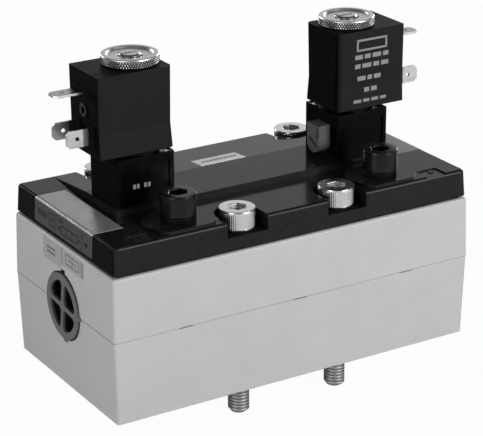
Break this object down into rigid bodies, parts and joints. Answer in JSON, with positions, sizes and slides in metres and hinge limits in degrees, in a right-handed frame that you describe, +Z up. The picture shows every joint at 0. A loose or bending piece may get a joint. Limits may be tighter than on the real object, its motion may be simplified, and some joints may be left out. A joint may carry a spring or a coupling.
{
  "type": "directional control valve",
  "caption": "Sub-base mounted pneumatic spool valve with a cast body, a black cover and an electric pilot with a hand lever at each end.",
  "frame": {"origin": "centre of the bottom mounting face of the cast body", "axes": "+X along the length to the right end, +Y away from the side with the cap screws, +Z up from the mounting face to the pilots"},
  "size_m": [0.1536, 0.0782, 0.1327],
  "materials": {
    "body_paint": "satin light grey paint on an aluminium die casting",
    "cover_gloss": "glossy black moulding",
    "coil_plastic": "matt dark grey encapsulation",
    "pilot_plastic": "half-gloss black moulding",
    "lever_plastic": "mid grey moulding",
    "plug_plastic": "dark grey glass-filled moulding",
    "cage_plastic": "dark moulding",
    "piston_plastic": "white acetal",
    "zinc_steel": "zinc-plated steel",
    "black_steel": "black-oxide steel",
    "nickel_steel": "nickel-plated, knurled",
    "stainless_steel": "turned stainless steel",
    "spring_steel": "spring steel",
    "tinned_brass": "tin-plated strip",
    "brass_insert": "turned brass",
    "spool_aluminium": "hard-anodised, ground",
    "rubber": "nitrile rubber",
    "gasket_sheet": "thin rubber sheet"
  },
  "bodies": {
    "valve": {"valve_body": "body_paint", "interface_gasket": "rubber", "cover_gasket": "gasket_sheet", "cover": "cover_gloss", "mounting_screws": "zinc_steel", "cover_screws": "black_steel", "port_cage_1": "cage_plastic", "port_cage_2": "cage_plastic", "port_cage_3": "cage_plastic", "port_cage_4": "cage_plastic", "port_cage_5": "cage_plastic", "bore_seal_1": "rubber", "bore_seal_2": "rubber", "bore_seal_3": "rubber", "bore_seal_4": "rubber", "bore_seal_5": "rubber", "bore_seal_6": "rubber", "retaining_ring_left": "spring_steel", "retaining_ring_right": "spring_steel", "end_plug_left": "plug_plastic", "end_plug_right": "plug_plastic", "plug_seal_left": "rubber", "plug_seal_right": "rubber", "pilot_body_left": "pilot_plastic", "pilot_body_right": "pilot_plastic", "pilot_gasket_left": "rubber", "pilot_gasket_right": "rubber", "pilot_screws_left": "zinc_steel", "pilot_screws_right": "zinc_steel", "armature_tube_left": "stainless_steel", "armature_tube_right": "stainless_steel", "plunger_spring_left": "spring_steel", "plunger_spring_right": "spring_steel", "coil_left": "coil_plastic", "coil_right": "coil_plastic", "power_blade_1_left": "tinned_brass", "power_blade_1_right": "tinned_brass", "power_blade_2_left": "tinned_brass", "power_blade_2_right": "tinned_brass", "ground_blade_left": "tinned_brass", "ground_blade_right": "tinned_brass", "terminal_insert_left": "brass_insert", "terminal_insert_right": "brass_insert", "coil_nut_left": "nickel_steel", "coil_nut_right": "nickel_steel", "nut_washer_left": "rubber", "nut_washer_right": "rubber"},
    "spool_set": {"spool": "spool_aluminium", "piston_left": "piston_plastic", "piston_right": "piston_plastic", "piston_seal_left": "rubber", "piston_seal_right": "rubber"},
    "plunger_set_left": {"plunger_left": "stainless_steel", "plunger_seal_left": "rubber"},
    "override_set_left": {"override_knob_left": "lever_plastic", "override_seal_left": "rubber"},
    "plunger_set_right": {"plunger_right": "stainless_steel", "plunger_seal_right": "rubber"},
    "override_set_right": {"override_knob_right": "lever_plastic", "override_seal_right": "rubber"}
  },
  "joints": [
    {"name": "spool_shift", "type": "slide", "parent": "valve", "child": "spool_set", "axis": [1, 0, 0], "range_m": [0, 0.008]},
    {"name": "plunger_lift_left", "type": "slide", "parent": "valve", "child": "plunger_set_left", "axis": [0, 0, 1], "range_m": [0, 0.0012], "stiffness_N_per_m": 800, "springref_m": -0.0025, "deforming": ["plunger_spring_left"]},
    {"name": "plunger_lift_right", "type": "slide", "parent": "valve", "child": "plunger_set_right", "axis": [0, 0, 1], "range_m": [0, 0.0012], "stiffness_N_per_m": 800, "springref_m": -0.0025, "deforming": ["plunger_spring_right"]},
    {"name": "override_turn_left", "type": "hinge", "parent": "valve", "child": "override_set_left", "pos_m": [-0.03465, 0.0028, 0.075], "axis": [1, 0, 0], "range_deg": [0, 90]},
    {"name": "override_turn_right", "type": "hinge", "parent": "valve", "child": "override_set_right", "pos_m": [0.03465, -0.0028, 0.075], "axis": [-1, 0, 0], "range_deg": [0, 90]}
  ]
}
